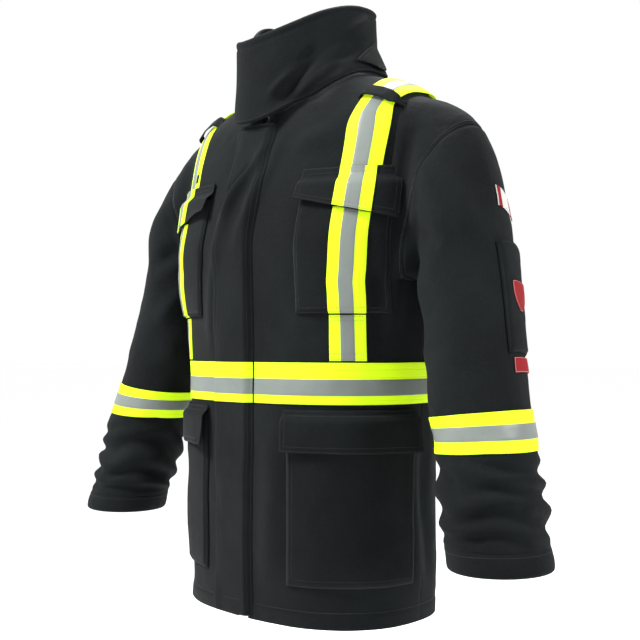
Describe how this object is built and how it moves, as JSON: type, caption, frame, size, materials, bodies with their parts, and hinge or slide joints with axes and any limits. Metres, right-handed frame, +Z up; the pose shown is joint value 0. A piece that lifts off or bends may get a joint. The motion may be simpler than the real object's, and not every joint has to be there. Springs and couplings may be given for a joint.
{
  "type": "turnout coat",
  "caption": "Insulated protective turnout coat with a tall wrap collar, storm flap over a zip, flapped chest and cargo pockets, reflective trim and sleeves that swing.",
  "frame": {"origin": "centre of the neck at the height of the back neck seam, where the wearer's neck and shoulders hold the coat", "axes": "+Z up, the front of the coat faces -Y, the wearer's left is +X"},
  "size_m": [0.8932, 0.2872, 0.9162],
  "materials": {
    "shell_fabric": "matt black flame-resistant twill with a faint sheen",
    "quilted_lining": "black quilted lining",
    "reflective_tape": "fluorescent yellow-green webbing with a silver retroreflective middle",
    "zip_tape": "black woven zip tape with moulded teeth",
    "zip_metal": "aged brass",
    "patch_cloth": "embroidered twill, white with red stripes",
    "red_label": "red woven label"
  },
  "bodies": {
    "coat": {"left_front_panel": "shell_fabric", "right_front_panel": "shell_fabric", "back_panel": "shell_fabric", "quilted_body_lining": "quilted_lining", "collar": "shell_fabric", "hang_loop": "shell_fabric", "left_zip_tape": "zip_tape", "right_zip_tape": "zip_tape", "waist_tape": "reflective_tape", "left_chest_pocket": "shell_fabric", "right_chest_pocket": "shell_fabric", "left_pocket_tape": "reflective_tape", "right_pocket_tape": "reflective_tape", "left_lower_chest_tape": "reflective_tape", "right_lower_chest_tape": "reflective_tape", "left_cargo_pocket": "shell_fabric", "right_cargo_pocket": "shell_fabric", "left_shoulder_tape": "reflective_tape", "right_shoulder_tape": "reflective_tape", "left_shoulder_keeper": "shell_fabric", "right_shoulder_keeper": "shell_fabric"},
    "storm_flap": {"storm_flap": "shell_fabric", "storm_flap_waist_tape": "reflective_tape"},
    "left_chest_flap": {"left_chest_flap": "shell_fabric", "left_flap_tape": "reflective_tape"},
    "right_chest_flap": {"right_chest_flap": "shell_fabric", "right_flap_tape": "reflective_tape"},
    "left_cargo_flap": {"left_cargo_flap": "shell_fabric"},
    "right_cargo_flap": {"right_cargo_flap": "shell_fabric"},
    "throat_tab": {"throat_tab": "shell_fabric"},
    "upper_slider": {"upper_zip_slider": "zip_metal", "upper_zip_pull": "zip_metal"},
    "lower_slider": {"lower_zip_slider": "zip_metal", "lower_zip_pull": "zip_metal"},
    "left_sleeve": {"left_sleeve": "shell_fabric", "left_sleeve_lining": "quilted_lining", "left_cuff": "shell_fabric", "left_sleeve_tape": "reflective_tape", "arm_pocket": "shell_fabric", "striped_arm_patch": "patch_cloth", "shield_badge": "red_label", "red_arm_label": "red_label"},
    "right_sleeve": {"right_sleeve": "shell_fabric", "right_sleeve_lining": "quilted_lining", "right_cuff": "shell_fabric", "right_sleeve_tape": "reflective_tape"}
  },
  "joints": [
    {"name": "storm_flap_open", "type": "hinge", "parent": "coat", "child": "storm_flap", "pos_m": [0.02122, -0.17331, -0.41], "axis": [0, 0, 1], "range_deg": [0, 80]},
    {"name": "left_chest_flap_lift", "type": "hinge", "parent": "coat", "child": "left_chest_flap", "pos_m": [0.16646, -0.13015, -0.18967], "axis": [-0.8782, -0.4783, 0], "range_deg": [0, 150]},
    {"name": "right_chest_flap_lift", "type": "hinge", "parent": "coat", "child": "right_chest_flap", "pos_m": [-0.16646, -0.13015, -0.18967], "axis": [-0.8782, 0.4783, 0], "range_deg": [0, 150]},
    {"name": "left_cargo_flap_lift", "type": "hinge", "parent": "coat", "child": "left_cargo_flap", "pos_m": [0.1751, -0.12733, -0.51207], "axis": [-0.6851, -0.7285, 0], "range_deg": [0, 65]},
    {"name": "right_cargo_flap_lift", "type": "hinge", "parent": "coat", "child": "right_cargo_flap", "pos_m": [-0.1751, -0.12733, -0.51207], "axis": [-0.6851, 0.7285, 0], "range_deg": [0, 65]},
    {"name": "throat_tab_open", "type": "hinge", "parent": "coat", "child": "throat_tab", "pos_m": [0.08924, 0.03453, 0.01048], "axis": [0, 0, 1], "range_deg": [0, 150]},
    {"name": "upper_zip_slide", "type": "slide", "parent": "coat", "child": "upper_slider", "axis": [0, -0.2687, -0.9632], "range_m": [0, 0.11]},
    {"name": "lower_zip_slide", "type": "slide", "parent": "coat", "child": "lower_slider", "axis": [0, 0, 1], "range_m": [0, 0.48]},
    {"name": "left_sleeve_swing", "type": "hinge", "parent": "coat", "child": "left_sleeve", "pos_m": [0.209, 0, -0.0745], "axis": [0, -1, 0], "range_deg": [0, 70]},
    {"name": "right_sleeve_swing", "type": "hinge", "parent": "coat", "child": "right_sleeve", "pos_m": [-0.209, 0, -0.0745], "axis": [0, 1, 0], "range_deg": [0, 70]}
  ]
}
